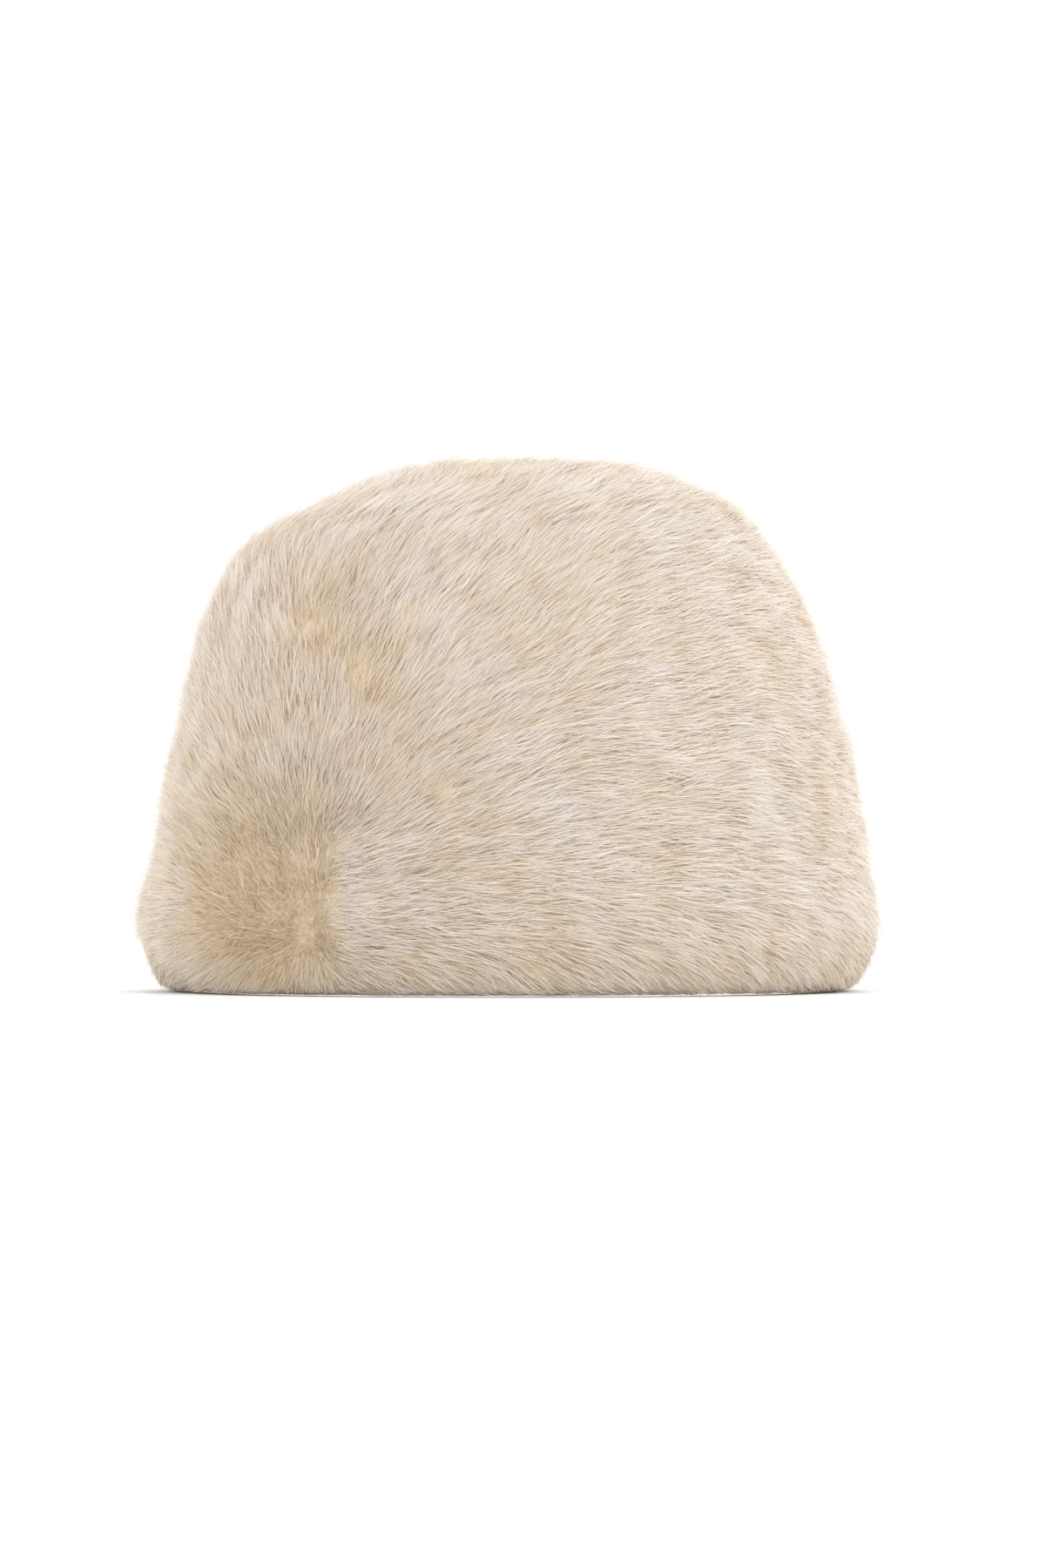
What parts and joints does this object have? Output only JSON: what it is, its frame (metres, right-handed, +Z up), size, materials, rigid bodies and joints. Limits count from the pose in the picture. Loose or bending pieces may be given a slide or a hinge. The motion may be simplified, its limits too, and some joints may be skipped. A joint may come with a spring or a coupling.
{
  "type": "fur cossack hat",
  "caption": "Tall oval hat of long-piled cream fur with a domed, slightly leaning crown, a rolled fur rim and a black satin lining.",
  "frame": {"origin": "middle of the rim on the surface that the hat stands on", "axes": "+Z up through the crown, -Y towards the front of the hat, +X to the wearer's left"},
  "size_m": [0.2294, 0.249, 0.1665],
  "materials": {
    "fur": "long cream pile",
    "satin": "black satin"
  },
  "bodies": {
    "root": {"fur_side_band": "fur", "fur_top_piece": "fur", "fur_hem": "fur", "satin_lining": "satin"}
  },
  "joints": []
}
